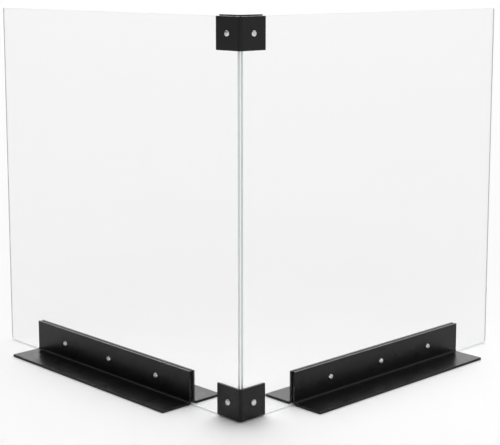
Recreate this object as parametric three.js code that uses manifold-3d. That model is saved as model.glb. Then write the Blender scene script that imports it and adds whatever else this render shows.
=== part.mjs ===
// Corner sneeze guard: two like panels of clear acrylic at a right angle, joined at the corner by an
// outer and an inner bracket at top and bottom, each standing in a foot of two angles back to back.
// Millimetres, +Z up. The left panel runs along +Y and the right one along +X. Distances along them are
// from the outer corner, where their outer faces would meet.

import * as THREE from 'three';
import { mergeVertices } from 'three/addons/utils/BufferGeometryUtils.js';
import Module from 'manifold-3d';

// Panels
const PANEL_WIDTH = 605;
const PANEL_HEIGHT = 600;
const PANEL_THICKNESS = 4.75;
const PANEL_LIFT = 2; // bottom edge above the counter

// Bent plate shared by the brackets and the foot angles
const PLATE = 4;
const FIT_GAP = 0.25; // between a plate and the acrylic it clamps

// Corner brackets
const OUTER_BRACKET_LEG = 51.5;
const OUTER_BRACKET_HEIGHT = 49.5;
const INNER_BRACKET_LEG = 45;
const INNER_BRACKET_HEIGHT = 45;
const BRACKET_BEND_INSIDE = 0.75;

// Foot angles
const FOOT_LENGTH = 406;
const FOOT_START = 111;
const FOOT_UPRIGHT = 54;
const FOOT_FLANGE = 58;
const FOOT_BEND_INSIDE = 3;

// M5 fasteners and the holes they pass through
const SHANK_RADIUS = 2.4;
const SHANK_LENGTH = 20;
const TIP_CHAMFER = 0.5;
const HEAD_RADIUS = 4.75;
const HEAD_HEIGHT = 2.75;
const SOCKET_ACROSS_FLATS = 3;
const SOCKET_DEPTH = 1.6;
const HEAD_FLAT_RADIUS = 2.4; // level rim round the socket
const WASHER_INNER_RADIUS = 2.65;
const WASHER_OUTER_RADIUS = 5;
const WASHER_THICKNESS = 1;
const NUT_ACROSS_FLATS = 8;
const NUT_HEIGHT = 4.7;
const NUT_BORE_RADIUS = 2.6;
const NUT_TURN = 0.45; // radians from one nut to the next, as tightened by hand
const HOLE_RADIUS = 2.9;

// Screw places
const CORNER_HOLE_INSET = 22.5;
const CORNER_HOLE_RISE = OUTER_BRACKET_HEIGHT / 2; // from the panels' top or bottom edge
const INNER_BRACKET_REACH = CORNER_HOLE_RISE + PANEL_LIFT; // from its holes to its end past that edge
const FOOT_HOLE_HEIGHT = 29;
const FOOT_HOLE_PITCH = 122;
const FOOT_HOLE_PLACES = [-1, 0, 1].map((i) => FOOT_LENGTH / 2 + i * FOOT_HOLE_PITCH); // along the foot

// Facets
const ROUND_SEGMENTS = 20;
const BEND_SEGMENTS = 5;
const DOME_SEGMENTS = 3;

const PANEL_TOP = PANEL_LIFT + PANEL_HEIGHT;
const INNER_FACE = PANEL_THICKNESS + FIT_GAP; // back plates start here, behind a panel's outer face
const PANEL_START = INNER_FACE; // so that the panels meet at their inner corners
const OUTER_FACE = -FIT_GAP - PLATE; // visible face of the front plates
const STACK_END = INNER_FACE + PLATE; // hidden face of the back plates

const X = new THREE.Vector3(1, 0, 0);
const Y = new THREE.Vector3(0, 1, 0);
const Z = new THREE.Vector3(0, 0, 1);
const at = (x, y, z) => new THREE.Vector3(x, y, z);
const opposite = (direction) => direction.clone().negate();

const wasm = await Module();
wasm.setup();

// --- Solids ---------------------------------------------------------------------------------------

function toManifold(geometry) {
  const bare = geometry.clone();
  bare.deleteAttribute('normal');
  bare.deleteAttribute('uv');
  const merged = mergeVertices(bare, 1e-4);
  return new wasm.Manifold(new wasm.Mesh({
    numProp: 3,
    vertProperties: Float32Array.from(merged.attributes.position.array),
    triVerts: Uint32Array.from(merged.index.array),
  }));
}

function fromManifold(solid) {
  const mesh = solid.getMesh();
  const geometry = new THREE.BufferGeometry();
  geometry.setAttribute('position', new THREE.BufferAttribute(Float32Array.from(mesh.vertProperties), 3));
  geometry.setIndex(new THREE.BufferAttribute(Uint32Array.from(mesh.triVerts), 1));
  geometry.computeVertexNormals();
  return geometry;
}

function cut(geometry, cutters) {
  const solid = cutters.reduce((rest, cutter) => rest.subtract(toManifold(cutter)), toManifold(geometry));
  return fromManifold(solid);
}

// A round cutter of the given radius, centred on a point and long enough to pass through any plate.
function drill(point, direction) {
  const cutter = new THREE.CylinderGeometry(HOLE_RADIUS, HOLE_RADIUS, 4 * PLATE, ROUND_SEGMENTS);
  cutter.applyQuaternion(new THREE.Quaternion().setFromUnitVectors(Y, direction));
  return cutter.translate(point.x, point.y, point.z);
}

function extrude(shape, depth) {
  return new THREE.ExtrudeGeometry(shape, { depth, bevelEnabled: false, curveSegments: BEND_SEGMENTS });
}

// Section of a bent plate: its outside corner at the origin, its legs along +x and +y.
function angleSection(legX, legY, insideRadius) {
  const outsideRadius = insideRadius + PLATE;
  const shape = new THREE.Shape();
  shape.moveTo(outsideRadius, 0);
  shape.lineTo(legX, 0);
  shape.lineTo(legX, PLATE);
  shape.lineTo(outsideRadius, PLATE);
  shape.absarc(outsideRadius, outsideRadius, insideRadius, -Math.PI / 2, -Math.PI, true);
  shape.lineTo(PLATE, legY);
  shape.lineTo(0, legY);
  shape.lineTo(0, outsideRadius);
  shape.absarc(outsideRadius, outsideRadius, outsideRadius, Math.PI, 1.5 * Math.PI, false);
  return shape;
}

function circle(x, y, radius) {
  return new THREE.Path().absarc(x, y, radius, 0, 2 * Math.PI, true);
}

function hexagon(acrossFlats) {
  const corners = Array.from({ length: 6 }, (_, i) => {
    const angle = (i * Math.PI) / 3;
    const radius = acrossFlats / Math.sqrt(3);
    return new THREE.Vector2(radius * Math.cos(angle), radius * Math.sin(angle));
  });
  return new THREE.Shape(corners);
}

// --- Materials ------------------------------------------------------------------------------------

const acrylic = () => new THREE.MeshStandardMaterial({
  color: 0xf2f6f5, roughness: 0.05, metalness: 0, transparent: true, opacity: 0.15,
});
const blackCoat = () => new THREE.MeshStandardMaterial({ color: 0x202123, roughness: 0.5, metalness: 0 });
const steel = () => new THREE.MeshStandardMaterial({ color: 0xc4c6c8, roughness: 0.3, metalness: 1 });

// --- Placing --------------------------------------------------------------------------------------

const guard = new THREE.Group();

// Puts a mesh with its own x and y axes along two directions of the guard.
function add(name, geometry, material, origin, xAxis = X, yAxis = Y) {
  const mesh = new THREE.Mesh(geometry, material);
  mesh.name = name;
  mesh.position.copy(origin);
  const basis = new THREE.Matrix4().makeBasis(xAxis, yAxis, xAxis.clone().cross(yAxis));
  mesh.quaternion.setFromRotationMatrix(basis);
  guard.add(mesh);
}

// --- Panels ---------------------------------------------------------------------------------------

// Each side is one panel and its foot: along runs away from the corner, and inward from the outer face
// to the inner one.
const SIDES = {
  left: { along: Y, inward: X },
  right: { along: X, inward: Y },
};

// A point by its distances along the side from the outer corner, in from its outer face, and up.
function pointOn({ along, inward }, distance, depth, height) {
  return at(0, 0, height).addScaledVector(along, distance).addScaledVector(inward, depth);
}

function panelGeometry() {
  const shape = new THREE.Shape();
  shape.moveTo(0, 0);
  shape.lineTo(PANEL_WIDTH, 0);
  shape.lineTo(PANEL_WIDTH, PANEL_HEIGHT);
  shape.lineTo(0, PANEL_HEIGHT);
  const corner = CORNER_HOLE_INSET - PANEL_START;
  shape.holes.push(circle(corner, CORNER_HOLE_RISE, HOLE_RADIUS));
  shape.holes.push(circle(corner, PANEL_HEIGHT - CORNER_HOLE_RISE, HOLE_RADIUS));
  for (const place of FOOT_HOLE_PLACES) {
    const along = FOOT_START + place - PANEL_START;
    shape.holes.push(circle(along, FOOT_HOLE_HEIGHT - PANEL_LIFT, HOLE_RADIUS));
  }
  return extrude(shape, PANEL_THICKNESS);
}

function addPanel(name, side) {
  const depthAxis = side.along.clone().cross(Z);
  const depth = depthAxis.dot(side.inward) > 0 ? 0 : PANEL_THICKNESS;
  const origin = pointOn(side, PANEL_START, depth, PANEL_LIFT);
  add(`${name}_panel`, panelGeometry(), acrylic(), origin, side.along, Z);
}

// --- Corner brackets ------------------------------------------------------------------------------

// A bracket with its outside corner at a depth and its holes this far above its lower end.
function addBracket(name, depth, leg, height, below, holeHeight) {
  const inset = CORNER_HOLE_INSET - depth;
  const section = angleSection(leg, leg, BRACKET_BEND_INSIDE);
  const holes = [
    drill(at(inset, PLATE / 2, below), Y),
    drill(at(PLATE / 2, inset, below), X),
  ];
  add(name, cut(extrude(section, height), holes), blackCoat(), at(depth, depth, holeHeight - below));
}

function addCornerBrackets(level, holeHeight, innerBelow) {
  addBracket(`${level}_outer_corner_bracket`, OUTER_FACE, OUTER_BRACKET_LEG, OUTER_BRACKET_HEIGHT,
    CORNER_HOLE_RISE, holeHeight);
  addBracket(`${level}_inner_corner_bracket`, INNER_FACE, INNER_BRACKET_LEG, INNER_BRACKET_HEIGHT,
    innerBelow, holeHeight);
}

// --- Feet -----------------------------------------------------------------------------------------

// Flange along +x, upright along +y, length along +z.
function footAngleGeometry() {
  const section = angleSection(FOOT_FLANGE, FOOT_UPRIGHT, FOOT_BEND_INSIDE);
  const holes = FOOT_HOLE_PLACES.map((place) => drill(at(PLATE / 2, FOOT_HOLE_HEIGHT, place), X));
  return cut(extrude(section, FOOT_LENGTH), holes);
}

function addFootAngle(name, side, outward, depth) {
  const lengthAxis = outward.clone().cross(Z);
  const from = lengthAxis.dot(side.along) > 0 ? FOOT_START : FOOT_START + FOOT_LENGTH;
  add(name, footAngleGeometry(), blackCoat(), pointOn(side, from, depth, 0), outward, Z);
}

function addFoot(name, side) {
  addFootAngle(`${name}_foot_front_angle`, side, opposite(side.inward), -FIT_GAP);
  addFootAngle(`${name}_foot_rear_angle`, side, side.inward, INNER_FACE);
}

// --- Fasteners ------------------------------------------------------------------------------------

// Button-head screw: head above z = 0, shank below.
function screwGeometry() {
  const profile = [
    new THREE.Vector2(0, -SHANK_LENGTH),
    new THREE.Vector2(SHANK_RADIUS - TIP_CHAMFER, -SHANK_LENGTH),
    new THREE.Vector2(SHANK_RADIUS, TIP_CHAMFER - SHANK_LENGTH),
    new THREE.Vector2(SHANK_RADIUS, 0),
    new THREE.Vector2(HEAD_RADIUS, 0),
  ];
  for (let i = 1; i <= DOME_SEGMENTS; i += 1) {
    const turn = (i * Math.PI) / 2 / DOME_SEGMENTS;
    const radius = HEAD_FLAT_RADIUS + (HEAD_RADIUS - HEAD_FLAT_RADIUS) * Math.cos(turn);
    profile.push(new THREE.Vector2(radius, HEAD_HEIGHT * Math.sin(turn)));
  }
  profile.push(new THREE.Vector2(0, HEAD_HEIGHT));
  const body = new THREE.LatheGeometry(profile, ROUND_SEGMENTS).rotateX(Math.PI / 2);
  const socket = extrude(hexagon(SOCKET_ACROSS_FLATS), 2 * SOCKET_DEPTH);
  return cut(body, [socket.translate(0, 0, HEAD_HEIGHT - SOCKET_DEPTH)]);
}

function ringGeometry(outline, holeRadius, height) {
  outline.holes.push(circle(0, 0, holeRadius));
  return extrude(outline, height);
}

function washerGeometry() {
  const rim = new THREE.Shape().absarc(0, 0, WASHER_OUTER_RADIUS, 0, 2 * Math.PI, false);
  return ringGeometry(rim, WASHER_INNER_RADIUS, WASHER_THICKNESS);
}

// The screw's head sits on the front plate, its washer and nut on the back plate.
let nutCount = 0;
function addFastener(name, side, distance, height) {
  const outward = opposite(side.inward);
  add(`${name}_screw`, screwGeometry(), steel(), pointOn(side, distance, OUTER_FACE, height),
    Z, outward.clone().cross(Z));
  add(`${name}_washer`, washerGeometry(), steel(), pointOn(side, distance, STACK_END, height),
    Z, side.inward.clone().cross(Z));
  const nut = ringGeometry(hexagon(NUT_ACROSS_FLATS), NUT_BORE_RADIUS, NUT_HEIGHT);
  nut.rotateZ(nutCount * NUT_TURN);
  nutCount += 1;
  add(`${name}_nut`, nut, steel(), pointOn(side, distance, STACK_END + WASHER_THICKNESS, height),
    Z, side.inward.clone().cross(Z));
}

// --- Assembly -------------------------------------------------------------------------------------

// The same inner bracket is used both ways up, with its longer end towards the panels' edge.
const BRACKET_LEVELS = {
  top: { holeHeight: PANEL_TOP - CORNER_HOLE_RISE, innerBelow: INNER_BRACKET_HEIGHT - INNER_BRACKET_REACH },
  bottom: { holeHeight: PANEL_LIFT + CORNER_HOLE_RISE, innerBelow: INNER_BRACKET_REACH },
};

for (const [level, { holeHeight, innerBelow }] of Object.entries(BRACKET_LEVELS)) {
  addCornerBrackets(level, holeHeight, innerBelow);
}

for (const [name, side] of Object.entries(SIDES)) {
  addPanel(name, side);
  addFoot(name, side);
  for (const [level, { holeHeight }] of Object.entries(BRACKET_LEVELS)) {
    addFastener(`${level}_corner_${name}`, side, CORNER_HOLE_INSET, holeHeight);
  }
  FOOT_HOLE_PLACES.forEach((place, i) => {
    addFastener(`${name}_foot_${i + 1}`, side, FOOT_START + place, FOOT_HOLE_HEIGHT);
  });
}

// The origin is on the counter, under the middle of the guard's bounding box.
const middle = (PANEL_START + PANEL_WIDTH - FIT_GAP - FOOT_FLANGE) / 2;
guard.position.set(-middle, -middle, 0);

export default guard;
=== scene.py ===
"""Corner sneeze guard: finished pieces, materials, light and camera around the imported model.

Each CAD node is replaced by a piece in the same place with the shapes that the faceted solid leaves
out: rolled bends and softened edges on the plates, polished arrises on the acrylic, and threads,
sockets and chamfers on the fasteners. A piece is built in millimetres, about its own origin, and
then placed in the row's frame in metres.
"""

import math

import bmesh
import bpy
from mathutils import Matrix, Vector


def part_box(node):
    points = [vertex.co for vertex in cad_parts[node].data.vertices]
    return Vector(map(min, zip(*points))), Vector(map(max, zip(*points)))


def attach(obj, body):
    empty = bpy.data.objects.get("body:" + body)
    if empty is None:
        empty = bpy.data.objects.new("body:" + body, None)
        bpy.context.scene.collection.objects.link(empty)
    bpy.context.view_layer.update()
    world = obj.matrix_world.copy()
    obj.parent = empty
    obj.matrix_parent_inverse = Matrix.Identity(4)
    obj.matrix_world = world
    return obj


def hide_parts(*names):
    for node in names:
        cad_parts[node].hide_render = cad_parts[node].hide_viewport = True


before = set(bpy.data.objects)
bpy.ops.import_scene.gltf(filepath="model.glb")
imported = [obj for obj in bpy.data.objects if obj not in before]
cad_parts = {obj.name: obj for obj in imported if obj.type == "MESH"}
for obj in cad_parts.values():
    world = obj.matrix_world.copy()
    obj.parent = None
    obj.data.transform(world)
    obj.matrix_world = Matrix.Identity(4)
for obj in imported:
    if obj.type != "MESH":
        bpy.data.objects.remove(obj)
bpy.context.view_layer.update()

MM = 0.001

# The same driving dimensions as the solids, in millimetres
PANEL_WIDTH = 605
PANEL_HEIGHT = 600
PANEL_THICKNESS = 4.75
PANEL_LIFT = 2
PLATE = 4
FIT_GAP = 0.25
OUTER_BRACKET_LEG = 51.5
OUTER_BRACKET_HEIGHT = 49.5
INNER_BRACKET_LEG = 45
INNER_BRACKET_HEIGHT = 45
BRACKET_BEND_INSIDE = 0.75
FOOT_LENGTH = 406
FOOT_START = 111
FOOT_UPRIGHT = 54
FOOT_FLANGE = 58
FOOT_BEND_INSIDE = 3
SHANK_RADIUS = 2.4
SHANK_LENGTH = 20
HEAD_RADIUS = 4.75
HEAD_HEIGHT = 2.75
SOCKET_ACROSS_FLATS = 3
SOCKET_DEPTH = 1.6
HEAD_FLAT_RADIUS = 2.4
WASHER_INNER_RADIUS = 2.65
WASHER_OUTER_RADIUS = 5
WASHER_THICKNESS = 1
NUT_ACROSS_FLATS = 8
NUT_HEIGHT = 4.7
NUT_BORE_RADIUS = 2.6
NUT_TURN = 0.45
HOLE_RADIUS = 2.9
CORNER_HOLE_INSET = 22.5
CORNER_HOLE_RISE = OUTER_BRACKET_HEIGHT / 2
INNER_BRACKET_REACH = CORNER_HOLE_RISE + PANEL_LIFT
FOOT_HOLE_HEIGHT = 29
FOOT_HOLE_PITCH = 122
FOOT_HOLE_PLACES = [FOOT_LENGTH / 2 + i * FOOT_HOLE_PITCH for i in (-1, 0, 1)]

INNER_FACE = PANEL_THICKNESS + FIT_GAP
OUTER_FACE = -FIT_GAP - PLATE
STACK_END = INNER_FACE + PLATE
PANEL_TOP = PANEL_LIFT + PANEL_HEIGHT
PANEL_START = INNER_FACE  # the panels meet at their inner corners

# Finish of the real pieces, too small for the solids
PANEL_CORNER_RADIUS = 1.5
ACRYLIC_ARRIS = 0.5  # flat polished along each acrylic edge
PLATE_EDGE_RADIUS = 0.4  # powder coat pulls round over a cut edge
THREAD_PITCH = 0.8
THREAD_DEPTH = 0.35
THREAD_RUNOUT = 1.5  # plain length under the head
HEAD_CHAMFER = 0.3  # under the rim of a screw's head
HEAD_RIM = 0.2  # upright edge of the head below its dome
WASHER_EDGE_RADIUS = 0.2
NUT_COUNTERSINK = 0.4
NUT_FACE_RATIO = 0.95  # round face of a nut over its width across flats

ROUND_STEPS = 48
BEND_STEPS = 14
DOME_STEPS = 9
CORNER_STEPS = 4
THREAD_ROWS = 5  # rows of points for each turn

TINY = 1e-5
QUARTER = math.pi / 2
SMOOTH_BELOW = math.radians(35)

X = Vector((1, 0, 0))
Y = Vector((0, 1, 0))
Z = Vector((0, 0, 1))

# Where the panels' outer faces would meet on the counter, in metres
CORNER = Vector((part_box("left_panel")[0].x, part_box("right_panel")[0].y, 0))


# --- Mesh building --------------------------------------------------------------------------------


def arc(centre, radius, start, end, steps):
    """Points along an arc, both ends included."""
    turns = [start + (end - start) * i / steps for i in range(steps + 1)]
    return [(centre[0] + radius * math.cos(t), centre[1] + radius * math.sin(t)) for t in turns]


def circle(x, y, radius):
    return arc((x, y), radius, 0, math.tau, ROUND_STEPS)[:-1]


def hexagon(across_flats):
    return arc((0, 0), across_flats / math.sqrt(3), 0, math.tau, 6)[:-1]


def rounded_rectangle(width, height, radius, inset):
    """A rectangle from the origin with rounded corners, drawn in by inset on every side."""
    near, right, top = radius, width - radius, height - radius
    corners = ((right, near, -1), (right, top, 0), (near, top, 1), (near, near, 2))
    points = []
    for x, y, quarter in corners:
        start = quarter * QUARTER
        points += arc((x, y), radius - inset, start, start + QUARTER, CORNER_STEPS)
    return points


def ring(mesh, points, z):
    return [mesh.verts.new((x, y, z)) for x, y in points]


def bridge(mesh, first, second):
    """Joins two rings of the same number of corners with four-sided faces."""
    for i, corner in enumerate(first):
        following = (i + 1) % len(first)
        mesh.faces.new((corner, first[following], second[following], second[i]))


def prism(points, bottom, top):
    mesh = bmesh.new()
    lower, upper = ring(mesh, points, bottom), ring(mesh, points, top)
    bridge(mesh, lower, upper)
    mesh.faces.new(lower[::-1])
    mesh.faces.new(upper)
    return mesh


def revolve(rows, closed=False):
    """A body turned about z from rows of (radius, height), where a radius may depend on the angle.

    Its first and last rows are capped, or joined to each other where closed.
    """
    mesh = bmesh.new()
    angles = [math.tau * i / ROUND_STEPS for i in range(ROUND_STEPS)]
    rings = []
    for radius, height in rows:
        radii = [radius(a) if callable(radius) else radius for a in angles]
        points = [(r * math.cos(a), r * math.sin(a)) for r, a in zip(radii, angles)]
        rings.append(ring(mesh, points, height))
    for lower, upper in zip(rings, rings[1:] + rings[:1] if closed else rings[1:]):
        bridge(mesh, lower, upper)
    if not closed:
        mesh.faces.new(rings[0][::-1])
        mesh.faces.new(rings[-1])
    bmesh.ops.recalc_face_normals(mesh, faces=mesh.faces)
    return mesh


def scratch_object(mesh, name):
    data = bpy.data.meshes.new(name)
    mesh.to_mesh(data)
    mesh.free()
    scratch = bpy.data.objects.new(name, data)
    bpy.context.scene.collection.objects.link(scratch)
    return scratch


def combined(body, tool, operation):
    """The body after a boolean operation with the tool. Both meshes are used up."""
    solid, other = scratch_object(body, "solid"), scratch_object(tool, "tool")
    change = solid.modifiers.new("change", "BOOLEAN")
    change.operation = operation
    change.solver = "EXACT"
    change.object = other
    result = bmesh.new()
    result.from_object(solid, bpy.context.evaluated_depsgraph_get())
    for scratch in (solid, other):
        data = scratch.data
        bpy.data.objects.remove(scratch)
        bpy.data.meshes.remove(data)
    return result


def drilled(body, holes):
    """The body with round holes, each a point and a direction along the hole."""
    for point, direction in holes:
        bit = prism(circle(0, 0, HOLE_RADIUS), -2 * PLATE, 2 * PLATE)
        turn = Z.rotation_difference(direction).to_matrix().to_4x4()
        bmesh.ops.transform(bit, matrix=Matrix.Translation(point) @ turn, verts=bit.verts)
        body = combined(body, bit, "DIFFERENCE")
    return body


# --- Pieces as meshes -----------------------------------------------------------------------------


def panel_mesh():
    """An acrylic sheet with every edge and hole rim given a narrow polished arris."""
    mesh = bmesh.new()
    corner = CORNER_HOLE_INSET - PANEL_START
    holes = [(corner, CORNER_HOLE_RISE), (corner, PANEL_HEIGHT - CORNER_HOLE_RISE)]
    for place in FOOT_HOLE_PLACES:
        holes.append((FOOT_START + place - PANEL_START, FOOT_HOLE_HEIGHT - PANEL_LIFT))
    levels = (
        (0, ACRYLIC_ARRIS),
        (ACRYLIC_ARRIS, 0),
        (PANEL_THICKNESS - ACRYLIC_ARRIS, 0),
        (PANEL_THICKNESS, ACRYLIC_ARRIS),
    )

    def outline(inset):
        return rounded_rectangle(PANEL_WIDTH, PANEL_HEIGHT, PANEL_CORNER_RADIUS, inset)

    def rim(x, y):
        return lambda inset: circle(x, y, HOLE_RADIUS + inset)

    for loop in (outline, *(rim(x, y) for x, y in holes)):
        rings = [ring(mesh, loop(inset), z) for z, inset in levels]
        for lower, upper in zip(rings, rings[1:]):
            bridge(mesh, lower, upper)
    for z in (0, PANEL_THICKNESS):
        edges = [e for e in mesh.edges if e.is_boundary and abs(e.verts[0].co.z - z) < TINY]
        bmesh.ops.triangle_fill(mesh, use_beauty=True, edges=edges)
    bmesh.ops.recalc_face_normals(mesh, faces=mesh.faces)
    for face in mesh.faces:
        face.material_index = 0 if abs(face.normal.z) > 0.99 else 1
    return mesh


def bent_plate(leg_x, leg_y, inside, length):
    """A plate bent to a right angle: outside corner along z, legs along x and y."""
    outside = inside + PLATE
    centre = (outside, outside)
    section = [(leg_x, 0), (leg_x, PLATE)]
    section += arc(centre, inside, 3 * QUARTER, 2 * QUARTER, BEND_STEPS)
    section += [(PLATE, leg_y), (0, leg_y)]
    section += arc(centre, outside, 2 * QUARTER, 3 * QUARTER, BEND_STEPS)
    return prism(section, 0, length)


def bracket_mesh(depth, leg, height, below):
    """A bracket with its outside corner at a depth and its holes this far above its lower end."""
    inset = CORNER_HOLE_INSET - depth
    holes = [(Vector((inset, PLATE / 2, below)), Y), (Vector((PLATE / 2, inset, below)), X)]
    return drilled(bent_plate(leg, leg, BRACKET_BEND_INSIDE, height), holes)


def foot_angle_mesh():
    """Flange along x, upright along y, length along z."""
    holes = [(Vector((PLATE / 2, FOOT_HOLE_HEIGHT, place)), X) for place in FOOT_HOLE_PLACES]
    return drilled(bent_plate(FOOT_FLANGE, FOOT_UPRIGHT, FOOT_BEND_INSIDE, FOOT_LENGTH), holes)


def thread_row(height):
    """A row of the shank's thread: a ridge that climbs one pitch in each turn and fades at its ends."""
    above_tip = height + SHANK_LENGTH
    below_head = -THREAD_RUNOUT - height
    fade = max(0, min(1, above_tip / THREAD_PITCH, below_head / THREAD_PITCH))
    taper = max(0, 1 - above_tip / THREAD_PITCH) * THREAD_DEPTH

    def radius(angle):
        phase = (height / THREAD_PITCH - angle / math.tau) % 1
        return SHANK_RADIUS - taper - THREAD_DEPTH * fade * abs(2 * phase - 1)

    return radius, height


def screw_mesh():
    """Button head above z = 0 with a hexagon socket, threaded shank below."""
    step = THREAD_PITCH / THREAD_ROWS
    count = round((SHANK_LENGTH - THREAD_RUNOUT) / step)
    rows = [thread_row(-SHANK_LENGTH + i * step) for i in range(count + 1)]
    rows += [(SHANK_RADIUS, 0), (HEAD_RADIUS - HEAD_CHAMFER, 0), (HEAD_RADIUS, HEAD_RIM)]
    for i in range(1, DOME_STEPS + 1):
        turn = QUARTER * i / DOME_STEPS
        radius = HEAD_FLAT_RADIUS + (HEAD_RADIUS - HEAD_FLAT_RADIUS) * math.cos(turn)
        rows.append((radius, HEAD_RIM + (HEAD_HEIGHT - HEAD_RIM) * math.sin(turn)))
    socket = prism(hexagon(SOCKET_ACROSS_FLATS), HEAD_HEIGHT - SOCKET_DEPTH, HEAD_HEIGHT + 1)
    return combined(revolve(rows), socket, "DIFFERENCE")


def washer_mesh():
    soft = WASHER_EDGE_RADIUS
    inner, outer, top = WASHER_INNER_RADIUS, WASHER_OUTER_RADIUS, WASHER_THICKNESS
    rows = [(inner, 0), (outer - soft, 0), (outer, soft), (outer, top - soft)]
    rows += [(outer - soft, top), (inner + soft / 2, top), (inner, top - soft / 2)]
    return revolve(rows, closed=True)


def nut_mesh(turn):
    """A hexagon nut with its corners turned down at both faces and a countersunk bore."""
    face_radius = NUT_FACE_RATIO * NUT_ACROSS_FLATS / 2
    full_radius = NUT_ACROSS_FLATS / math.sqrt(3) + 0.1  # just clear of the corners
    slope = (full_radius - face_radius) * math.tan(math.pi / 6)
    turned = [(face_radius, 0), (full_radius, slope)]
    turned += [(full_radius, NUT_HEIGHT - slope), (face_radius, NUT_HEIGHT)]
    beyond = 1
    mouth = NUT_BORE_RADIUS + NUT_COUNTERSINK + beyond
    bore = [(mouth, -beyond), (NUT_BORE_RADIUS, NUT_COUNTERSINK)]
    bore += [(r, NUT_HEIGHT - z) for r, z in reversed(bore)]
    body = combined(prism(hexagon(NUT_ACROSS_FLATS), 0, NUT_HEIGHT), revolve(turned), "INTERSECT")
    body = combined(body, revolve(bore), "DIFFERENCE")
    bmesh.ops.rotate(body, verts=body.verts, cent=(0, 0, 0), matrix=Matrix.Rotation(turn, 3, "Z"))
    return body


# --- Materials ------------------------------------------------------------------------------------


class Nodes:
    """A material's node tree, with one call to add a node and join or set its inputs."""

    def __init__(self, name):
        self.material = bpy.data.materials.new(name)
        self.material.use_nodes = True
        self.tree = self.material.node_tree
        self.tree.nodes.clear()
        self.place = self.add("TexCoord").outputs["Object"]

    def add(self, kind, settings=None, **inputs):
        node = self.tree.nodes.new("ShaderNode" + kind)
        for name, value in (settings or {}).items():
            setattr(node, name, value)
        for name, value in inputs.items():
            self.feed(node.inputs[name.replace("_", " ")], value)
        return node

    def feed(self, socket, value):
        if isinstance(value, bpy.types.NodeSocket):
            self.tree.links.new(value, socket)
        else:
            socket.default_value = value

    def noise(self, scale, detail=3, stretch=(1, 1, 1)):
        """Noise with so many features to the metre, drawn out along an axis by a small stretch."""
        mapping = self.add("Mapping", Vector=self.place, Scale=stretch)
        return self.add(
            "TexNoise", Vector=mapping.outputs["Vector"], Scale=scale, Detail=detail
        ).outputs["Fac"]

    def spread(self, value, low, high, start=0.3, end=0.7):
        """A value from start to end, spread over low to high."""
        inputs = {"Value": value, "From_Min": start, "From_Max": end, "To_Min": low, "To_Max": high}
        return self.add("MapRange", **inputs).outputs["Result"]

    def mix(self, factor, first, second):
        node = self.add("Mix", {"data_type": "RGBA"})
        colours = [s for s in node.inputs if s.type == "RGBA"]
        self.feed(node.inputs["Factor"], factor)
        self.feed(colours[0], first)
        self.feed(colours[1], second)
        return next(s for s in node.outputs if s.type == "RGBA")

    def sum(self, first, second):
        node = self.add("Math", {"operation": "ADD"})
        self.feed(node.inputs[0], first)
        self.feed(node.inputs[1], second)
        return node.outputs["Value"]

    def edges(self, width):
        """How much the surface turns within a width: 0 on the flat and up to 1 at an edge."""
        rounded = self.add("Bevel", {"samples": 6}, Radius=width).outputs["Normal"]
        true = self.add("NewGeometry").outputs["Normal"]
        along = self.add("VectorMath", {"operation": "DOT_PRODUCT"})
        self.feed(along.inputs[0], rounded)
        self.feed(along.inputs[1], true)
        return self.spread(along.outputs["Value"], 0, 1, start=0.995, end=0.86)

    def bump(self, height, strength, distance):
        return self.add("Bump", Height=height, Strength=strength, Distance=distance).outputs["Normal"]

    def show(self, shader):
        output = self.add("OutputMaterial")
        self.tree.links.new(shader, output.inputs["Surface"])
        return self.material


def powder_coat():
    """Satin black powder coat: fine orange peel, lighter along the edges, partly a thinner, duller coat
    and partly a painted highlight on the edge lines.
    """
    nodes = Nodes("black_powder_coat")
    peel = nodes.noise(700, detail=4)
    cloud = nodes.noise(25)
    edge_band = nodes.edges(0.9 * MM)
    tone = nodes.mix(cloud, (0.0035, 0.0035, 0.004, 1), (0.0055, 0.0055, 0.006, 1))
    # Lighter colour along the edges: partly a thinner coat, partly a painted highlight standing in for
    # the light line on each edge
    colour = nodes.mix(nodes.spread(edge_band, 0, 0.5, start=0, end=1), tone, (0.016, 0.016, 0.017, 1))
    rough = nodes.sum(nodes.spread(peel, 0.24, 0.34), nodes.spread(cloud, -0.02, 0.04))
    shader = nodes.add(
        "BsdfPrincipled",
        Base_Color=colour,
        Roughness=rough,
        Normal=nodes.bump(peel, 0.16, 0.4 * MM),
        IOR=1.33,
    )
    return nodes.show(shader.outputs["BSDF"])


def stainless():
    """Stainless steel fasteners: turning marks round the axis and dulled edges."""
    nodes = Nodes("stainless_steel")
    marks = nodes.noise(1800, detail=5)
    cloud = nodes.noise(180)
    edge_band = nodes.edges(0.3 * MM)
    tone = nodes.mix(cloud, (0.68, 0.68, 0.69, 1), (0.80, 0.80, 0.80, 1))
    colour = nodes.mix(nodes.spread(edge_band, 0, 0.6, start=0, end=1), tone, (0.86, 0.86, 0.86, 1))
    shader = nodes.add(
        "BsdfPrincipled",
        Base_Color=colour,
        Metallic=1.0,
        Roughness=nodes.sum(nodes.spread(marks, 0.2, 0.32), nodes.spread(edge_band, 0, 0.06, 0, 1)),
        Normal=nodes.bump(marks, 0.12, 0.05 * MM),
    )
    return nodes.show(shader.outputs["BSDF"])


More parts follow.
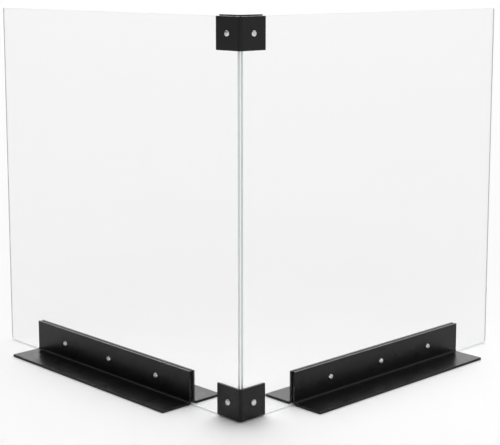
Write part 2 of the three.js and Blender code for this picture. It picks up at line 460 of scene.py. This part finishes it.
def clear_acrylic():
    """Clear acrylic sheet, faintly rippled, that lets the key light pass as a clear sheet does."""
    nodes = Nodes("clear_acrylic")
    haze = nodes.noise(6, detail=5)
    handling = nodes.noise(120, detail=6, stretch=(1, 1, 0.15))
    tint = (0.925, 0.926, 0.923, 1)
    glass = nodes.add(
        "BsdfPrincipled",
        Base_Color=tint,
        Roughness=nodes.spread(handling, 0, 0.02),
        IOR=1.49,
        Transmission_Weight=1.0,
        Normal=nodes.bump(haze, 0.01, 0.5 * MM),
    )
    through = nodes.add("BsdfTransparent", Color=tint)
    lamp_ray = nodes.add("LightPath").outputs["Is Shadow Ray"]
    share = nodes.add("MixShader")
    nodes.feed(share.inputs["Fac"], lamp_ray)
    nodes.feed(share.inputs[1], glass.outputs["BSDF"])
    nodes.feed(share.inputs[2], through.outputs["BSDF"])
    return nodes.show(share.outputs["Shader"])


def acrylic_edge():
    """The sheet's machined edge: pale grey-green where light gathers in it, with fine cutter marks."""
    nodes = Nodes("acrylic_edge")
    cutter = nodes.noise(900, detail=4, stretch=(1, 1, 0.2))
    cloud = nodes.noise(30)
    shader = nodes.add(
        "BsdfPrincipled",
        Base_Color=nodes.mix(cloud, (0.84, 0.89, 0.87, 1), (0.90, 0.95, 0.93, 1)),
        Roughness=nodes.spread(cutter, 0.25, 0.45),
        IOR=1.49,
        Transmission_Weight=0.15,
        Normal=nodes.bump(cutter, 0.15, 0.1 * MM),
    )
    return nodes.show(shader.outputs["BSDF"])


BLACK = powder_coat()
STEEL = stainless()
ACRYLIC = clear_acrylic()
ACRYLIC_EDGE = acrylic_edge()


# --- Placing --------------------------------------------------------------------------------------


def placing(origin, x_axis, y_axis):
    """From a piece's own millimetres to the row's frame, with its x and y along two directions."""
    turn = Matrix((x_axis, y_axis, x_axis.cross(y_axis))).transposed().to_4x4()
    return Matrix.Translation(CORNER + origin * MM) @ turn @ Matrix.Scale(MM, 4)


def shade(mesh):
    """Smooth faces, with an edge kept sharp where the surface turns."""
    for face in mesh.faces:
        face.smooth = True
    for edge in mesh.edges:
        edge.smooth = edge.is_manifold and edge.calc_face_angle(0) < SMOOTH_BELOW


def add_piece(node, mesh, place, materials, edge_radius=0):
    """A finished piece that stands for a CAD node. The mesh is used up."""
    bmesh.ops.transform(mesh, matrix=place, verts=mesh.verts)
    shade(mesh)
    data = bpy.data.meshes.new(node + "_mesh")
    mesh.to_mesh(data)
    mesh.free()
    for material in materials:
        data.materials.append(material)
    piece = bpy.data.objects.new(node + "_piece", data)
    bpy.context.scene.collection.objects.link(piece)
    if edge_radius:
        bevel = piece.modifiers.new("softened edges", "BEVEL")
        bevel.width = edge_radius * MM
        bevel.segments = 3
        bevel.angle_limit = SMOOTH_BELOW
        weighted = piece.modifiers.new("even shading", "WEIGHTED_NORMAL")
        weighted.keep_sharp = True
    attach(piece, "root")
    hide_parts(node)


def add_plate(node, mesh, place):
    add_piece(node, mesh, place, [BLACK], PLATE_EDGE_RADIUS)


# Each side is one panel and its foot: along runs away from the corner, and inward from the outer face
# to the inner one.
SIDES = {
    "left": {"along": Y, "inward": X},
    "right": {"along": X, "inward": Y},
}
# The same inner bracket is used both ways up, with its longer end towards the panels' edge.
BRACKET_LEVELS = {
    "top": {
        "hole_height": PANEL_TOP - CORNER_HOLE_RISE,
        "inner_below": INNER_BRACKET_HEIGHT - INNER_BRACKET_REACH,
    },
    "bottom": {"hole_height": PANEL_LIFT + CORNER_HOLE_RISE, "inner_below": INNER_BRACKET_REACH},
}


def point_on(side, distance, depth, height):
    """A point by its distances along a side from the corner, in from its outer face, and up."""
    return side["along"] * distance + side["inward"] * depth + Z * height


def add_panel(name, side):
    depth_axis = side["along"].cross(Z)
    depth = 0 if depth_axis.dot(side["inward"]) > 0 else PANEL_THICKNESS
    place = placing(point_on(side, PANEL_START, depth, PANEL_LIFT), side["along"], Z)
    add_piece(f"{name}_panel", panel_mesh(), place, [ACRYLIC, ACRYLIC_EDGE])


def add_brackets(level, hole_height, inner_below):
    for where, depth, leg, height, below in (
        ("outer", OUTER_FACE, OUTER_BRACKET_LEG, OUTER_BRACKET_HEIGHT, CORNER_HOLE_RISE),
        ("inner", INNER_FACE, INNER_BRACKET_LEG, INNER_BRACKET_HEIGHT, inner_below),
    ):
        place = placing(Vector((depth, depth, hole_height - below)), X, Y)
        mesh = bracket_mesh(depth, leg, height, below)
        add_plate(f"{level}_{where}_corner_bracket", mesh, place)


def add_foot(name, side):
    for row, outward, depth in (
        ("front", -side["inward"], -FIT_GAP),
        ("rear", side["inward"], INNER_FACE),
    ):
        runs_away = outward.cross(Z).dot(side["along"]) > 0
        start = FOOT_START if runs_away else FOOT_START + FOOT_LENGTH
        place = placing(point_on(side, start, depth, 0), outward, Z)
        add_plate(f"{name}_foot_{row}_angle", foot_angle_mesh(), place)


def add_fastener(name, side, distance, height, number):
    """A screw whose head is on the front plate, with its washer and nut on the back plate."""
    inward, outward = side["inward"], -side["inward"]

    def facing(direction, depth):
        return placing(point_on(side, distance, depth, height), Z, direction.cross(Z))

    for kind, mesh, place in (
        ("screw", screw_mesh(), facing(outward, OUTER_FACE)),
        ("washer", washer_mesh(), facing(inward, STACK_END)),
        ("nut", nut_mesh(number * NUT_TURN), facing(inward, STACK_END + WASHER_THICKNESS)),
    ):
        add_piece(f"{name}_{kind}", mesh, place, [STEEL])


def add_guard():
    number = 0
    for level, plates in BRACKET_LEVELS.items():
        add_brackets(level, **plates)
    for name, side in SIDES.items():
        add_panel(name, side)
        add_foot(name, side)
        spots = {
            f"{level}_corner_{name}": (CORNER_HOLE_INSET, plates["hole_height"])
            for level, plates in BRACKET_LEVELS.items()
        }
        for i, place in enumerate(FOOT_HOLE_PLACES, 1):
            spots[f"{name}_foot_{i}"] = (FOOT_START + place, FOOT_HOLE_HEIGHT)
        for spot, (distance, height) in spots.items():
            add_fastener(spot, side, distance, height, number)
            number += 1


# --- Setting --------------------------------------------------------------------------------------

FLOOR_RADIUS = 40
SKY_DIM = 0.08
# The glows are behind the guard, at its right, overhead and at the front. Each gives a direction, the
# cosines to it at which the glow starts and is full, and a strength.
SKY_GLOWS = (
    (Vector((0.70, 0.71, 0)), 0.3, 0.85, 0.52),
    (Vector((0.71, -0.70, 0)), 0.2, 0.9, 0.5),
    (Vector((0, 0, 1)), 0.3, 0.9, 0.3),
    (Vector((-0.66, -0.69, 0.30)), 0.86, 0.98, 1.3),
)
KEY_DIRECTION = Vector((-0.60, -0.66, -1.00))  # the way the key light travels
KEY_ANGLE = math.radians(72)
KEY_STRENGTH = 2.2

CAMERA_PLACE = Vector((-1.540, -1.620, 0.664))
CAMERA_HEADING = math.radians(46.32)  # from +X towards +Y
CAMERA_DIP = math.radians(8.39)
CAMERA_LENS = 92.8
CAMERA_SHIFT = -0.12


def add_floor():
    mesh = bmesh.new()
    bmesh.ops.create_circle(mesh, cap_ends=True, segments=96, radius=FLOOR_RADIUS)
    data = bpy.data.meshes.new("floor_mesh")
    mesh.to_mesh(data)
    mesh.free()
    floor = bpy.data.objects.new("floor", data)
    floor.location.z = -0.1 * MM
    bpy.context.scene.collection.objects.link(floor)
    nodes = Nodes("white_floor")
    colour = nodes.mix(nodes.noise(3), (0.90, 0.90, 0.90, 1), (0.92, 0.92, 0.92, 1))
    shader = nodes.add("BsdfPrincipled", Base_Color=colour, Roughness=0.7, Specular_IOR_Level=0.2)
    data.materials.append(nodes.show(shader.outputs["BSDF"]))


def add_surroundings():
    """A white studio: a glow on some sides of the sky over a dim light all round."""
    world = bpy.data.worlds.new("studio")
    world.use_nodes = True
    bpy.context.scene.world = world
    tree = world.node_tree
    direction = tree.nodes.new("ShaderNodeTexCoord").outputs["Generated"]
    strength = None
    for side, start, end, glow in SKY_GLOWS:
        facing = tree.nodes.new("ShaderNodeVectorMath")
        facing.operation = "DOT_PRODUCT"
        tree.links.new(direction, facing.inputs[0])
        facing.inputs[1].default_value = side
        fade = tree.nodes.new("ShaderNodeMapRange")
        fade.interpolation_type = "SMOOTHSTEP"
        tree.links.new(facing.outputs["Value"], fade.inputs["Value"])
        for name, value in (("From Min", start), ("From Max", end), ("To Min", 0), ("To Max", glow)):
            fade.inputs[name].default_value = value
        total = tree.nodes.new("ShaderNodeMath")
        total.operation = "ADD"
        tree.links.new(fade.outputs["Result"], total.inputs[0])
        if strength:
            tree.links.new(strength, total.inputs[1])
        else:
            total.inputs[1].default_value = SKY_DIM
        strength = total.outputs["Value"]
    background = tree.nodes["Background"]
    tree.links.new(strength, background.inputs["Strength"])
    background.inputs["Color"].default_value = (1, 1, 1, 1)


def add_key_light():
    light = bpy.data.lights.new("key", "SUN")
    light.energy = KEY_STRENGTH
    light.angle = KEY_ANGLE
    key = bpy.data.objects.new("key", light)
    key.rotation_mode = "QUATERNION"
    key.rotation_quaternion = KEY_DIRECTION.to_track_quat("-Z", "Y")
    bpy.context.scene.collection.objects.link(key)


def add_camera():
    lens = bpy.data.cameras.new("camera")
    lens.lens = CAMERA_LENS
    lens.shift_y = CAMERA_SHIFT
    lens.clip_end = 100
    camera = bpy.data.objects.new("camera", lens)
    camera.location = CAMERA_PLACE
    level = math.cos(CAMERA_DIP)
    sight = Vector((level * math.cos(CAMERA_HEADING), level * math.sin(CAMERA_HEADING), 0))
    sight.z = -math.sin(CAMERA_DIP)
    camera.rotation_mode = "QUATERNION"
    camera.rotation_quaternion = sight.to_track_quat("-Z", "Y")
    bpy.context.scene.collection.objects.link(camera)
    bpy.context.scene.camera = camera


add_guard()
add_floor()
add_surroundings()
add_key_light()
add_camera()
bpy.context.scene.view_settings.view_transform = "Standard"
